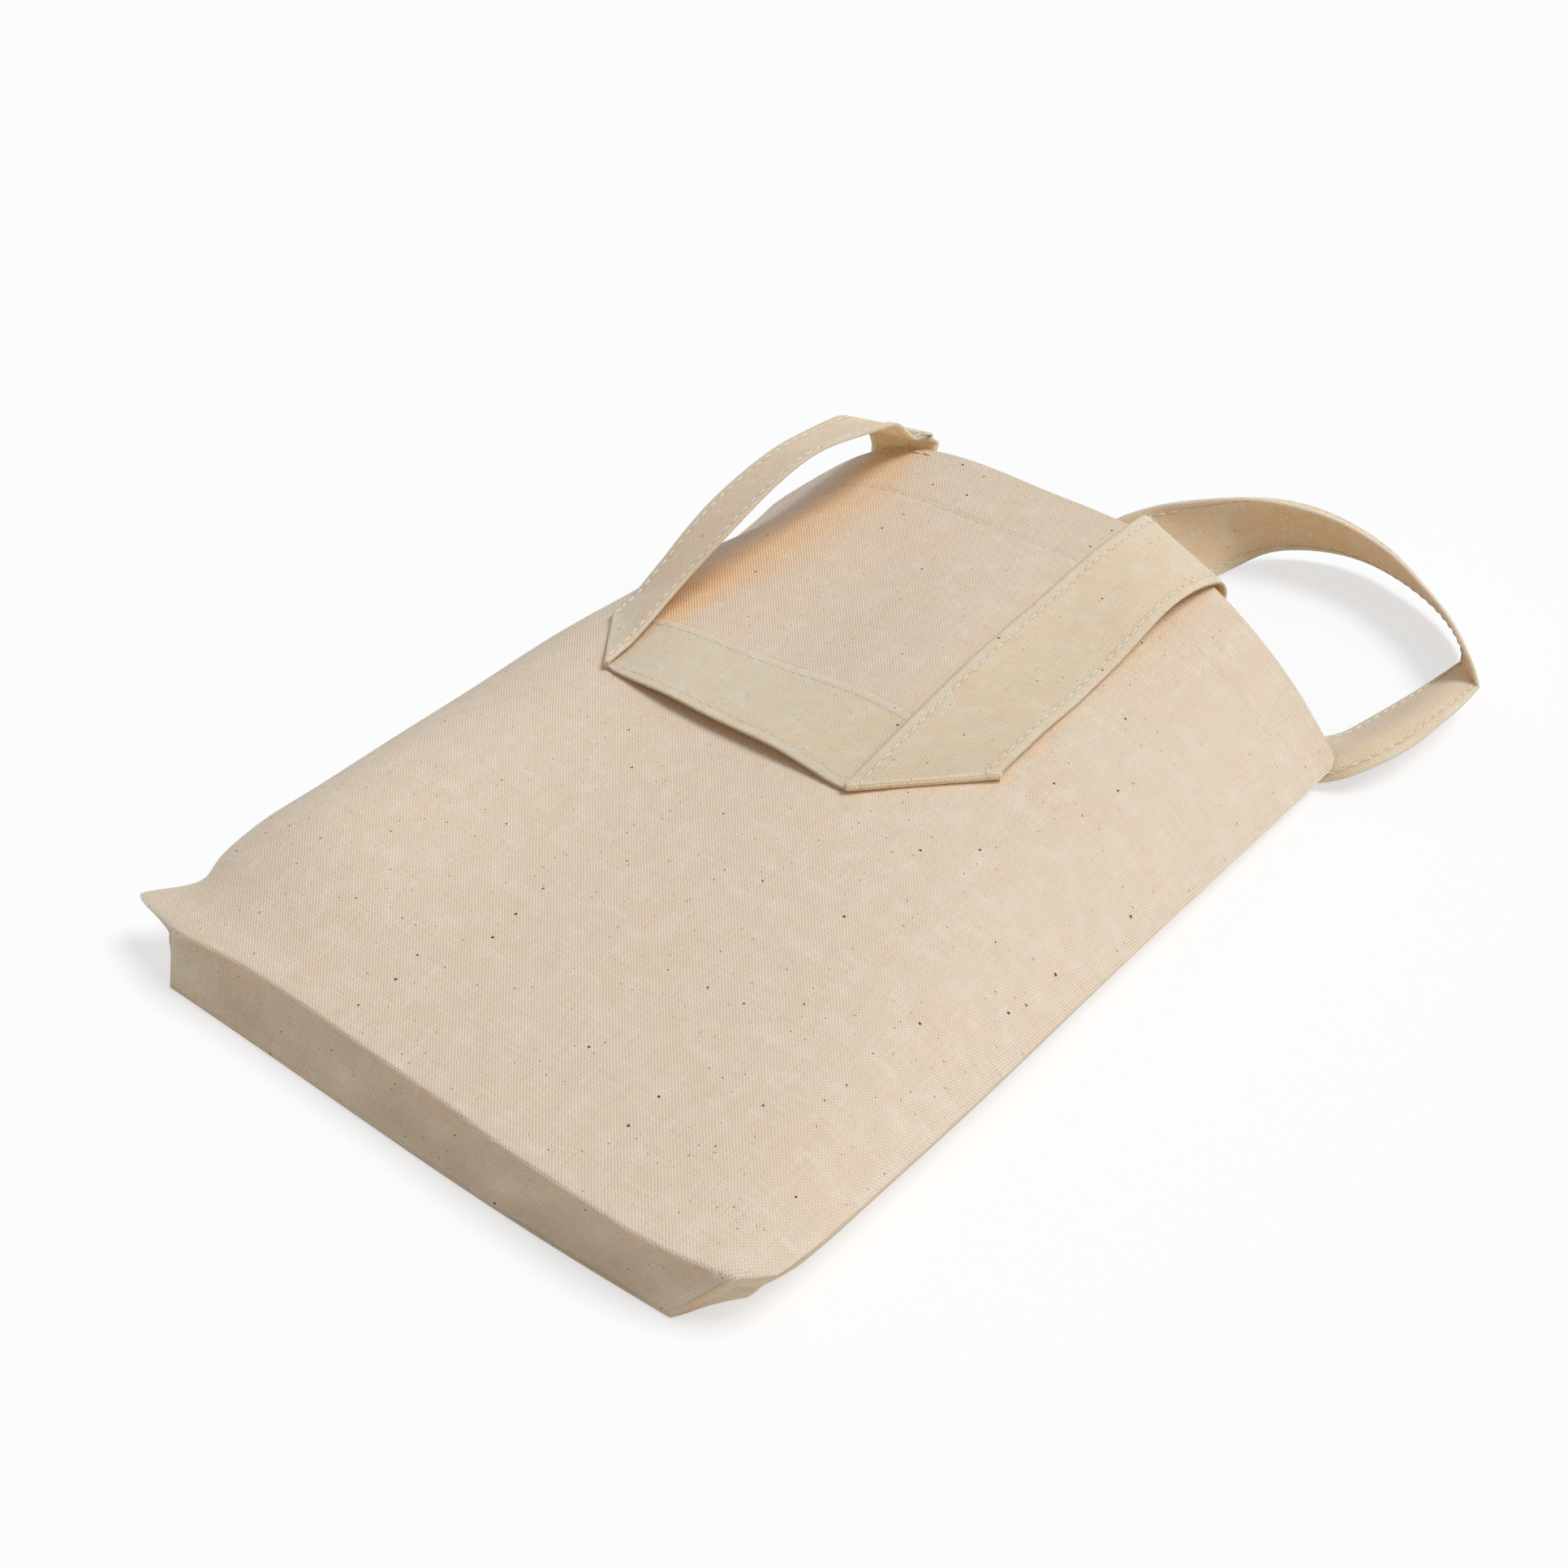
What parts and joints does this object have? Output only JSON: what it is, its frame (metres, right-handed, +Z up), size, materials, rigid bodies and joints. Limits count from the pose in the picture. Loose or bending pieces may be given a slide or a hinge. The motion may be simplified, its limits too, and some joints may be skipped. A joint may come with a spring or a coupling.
{
  "type": "tote bag",
  "caption": "Small unlined canvas tote bag with a boxed bottom, a turned hem and flat sewn strap handles, lying on its back with the front handle folded down.",
  "frame": {"origin": "middle of the back panel's outer face, which lies on the floor, halfway between bottom and mouth", "axes": "+Z up from the floor through the front panel, +Y from the bottom towards the mouth, +X to the right as seen from above with the mouth away"},
  "size_m": [0.2371, 0.3768, 0.0674],
  "materials": {
    "canvas": "unbleached plain-weave cotton canvas with seed specks, matte",
    "strap_canvas": "unbleached cotton canvas folded into a flat strap, matte",
    "thread": "undyed sewing thread, matte"
  },
  "bodies": {
    "back": {"back_panel": "canvas", "bottom_panel": "canvas", "left_side_panel": "canvas", "right_side_panel": "canvas", "left_seam_allowance": "canvas", "right_seam_allowance": "canvas", "left_corner_seam": "canvas", "right_corner_seam": "canvas", "back_hem": "canvas", "back_hem_stitching": "thread", "back_left_strap_end": "strap_canvas", "back_right_strap_end": "strap_canvas", "back_left_tack": "thread", "back_right_tack": "thread"},
    "front": {"front_panel": "canvas", "front_hem": "canvas", "front_hem_stitching": "thread", "front_left_strap_end": "strap_canvas", "front_right_strap_end": "strap_canvas", "front_left_tack": "thread", "front_right_tack": "thread", "front_left_root_bend": "strap_canvas", "front_right_root_bend": "strap_canvas"},
    "front_handle": {"front_strap": "strap_canvas", "front_strap_right_inner_stitching": "thread", "front_strap_right_outer_stitching": "thread", "front_strap_left_inner_stitching": "thread", "front_strap_left_outer_stitching": "thread", "front_strap_lower_stitching": "thread", "front_strap_upper_stitching": "thread"},
    "back_handle": {"back_strap": "strap_canvas", "back_strap_lower_stitching": "thread", "back_strap_upper_stitching": "thread"}
  },
  "joints": [
    {"name": "mouth_opening", "type": "hinge", "parent": "back", "child": "front", "pos_m": [0, -0.14, 0.0185], "axis": [1, 0, 0], "range_deg": [0, 5]},
    {"name": "front_handle_swing", "type": "hinge", "parent": "front", "child": "front_handle", "pos_m": [0, 0.1436, 0.0495], "axis": [-1, 0, 0], "range_deg": [0, 180], "deforming": ["front_left_root_bend", "front_right_root_bend"]},
    {"name": "back_handle_swing", "type": "hinge", "parent": "back", "child": "back_handle", "pos_m": [0, 0.1403, 0.0046], "axis": [1, 0, 0], "range_deg": [0, 36]}
  ]
}
